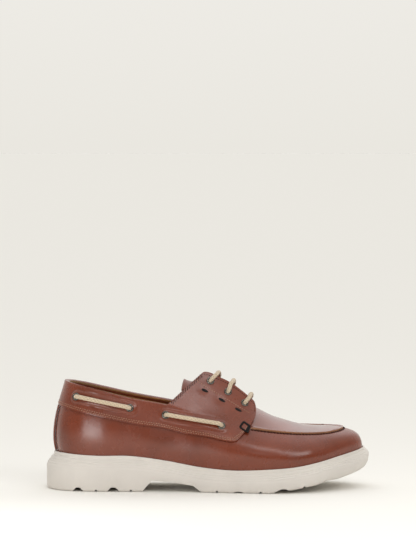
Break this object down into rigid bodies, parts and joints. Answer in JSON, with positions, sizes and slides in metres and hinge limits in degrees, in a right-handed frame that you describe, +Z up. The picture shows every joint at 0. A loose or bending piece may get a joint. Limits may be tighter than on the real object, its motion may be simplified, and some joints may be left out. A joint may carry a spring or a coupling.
{
  "type": "boat shoe",
  "caption": "Low leather boat shoe for the right foot: moc-stitched apron, side laces through metal eyelets, and a pale cup sole with an arch and toe spring.",
  "frame": {"origin": "centre of the bounding box, on the ground plane under the sole", "axes": "+X towards the toe, -Y the lateral (outer) side, +Z up"},
  "size_m": [0.3, 0.1055, 0.1089],
  "materials": {
    "sole_rubber": "matt off-white foam rubber",
    "upper_leather": "burnished reddish brown leather, satin",
    "saddle_leather": "burnished reddish brown leather, satin",
    "tongue_leather": "brown leather, satin",
    "sock_leather": "matt tan leather",
    "eyelet_metal": "dark satin nickel",
    "lace_cotton": "matt beige braid"
  },
  "bodies": {
    "root": {"sole": "sole_rubber", "upper": "upper_leather", "tongue": "tongue_leather", "insole": "sock_leather", "saddle_lateral": "saddle_leather", "saddle_medial": "saddle_leather", "heel_collar": "saddle_leather", "backstay": "saddle_leather", "eyelet_lateral_heel_rear": "eyelet_metal", "eyelet_lateral_heel_front": "eyelet_metal", "eyelet_lateral_side_rear": "eyelet_metal", "eyelet_lateral_side_front": "eyelet_metal", "eyelet_lateral_top": "eyelet_metal", "eyelet_lateral_middle": "eyelet_metal", "eyelet_lateral_bottom": "eyelet_metal", "eyelet_medial_heel_rear": "eyelet_metal", "eyelet_medial_heel_front": "eyelet_metal", "eyelet_medial_side_rear": "eyelet_metal", "eyelet_medial_side_front": "eyelet_metal", "eyelet_medial_top": "eyelet_metal", "eyelet_medial_middle": "eyelet_metal", "eyelet_medial_bottom": "eyelet_metal", "lace_lateral_heel": "lace_cotton", "lace_lateral_side": "lace_cotton", "lace_medial_heel": "lace_cotton", "lace_medial_side": "lace_cotton", "lace_bar_top": "lace_cotton", "lace_bar_middle": "lace_cotton", "lace_bar_bottom": "lace_cotton"}
  },
  "joints": []
}
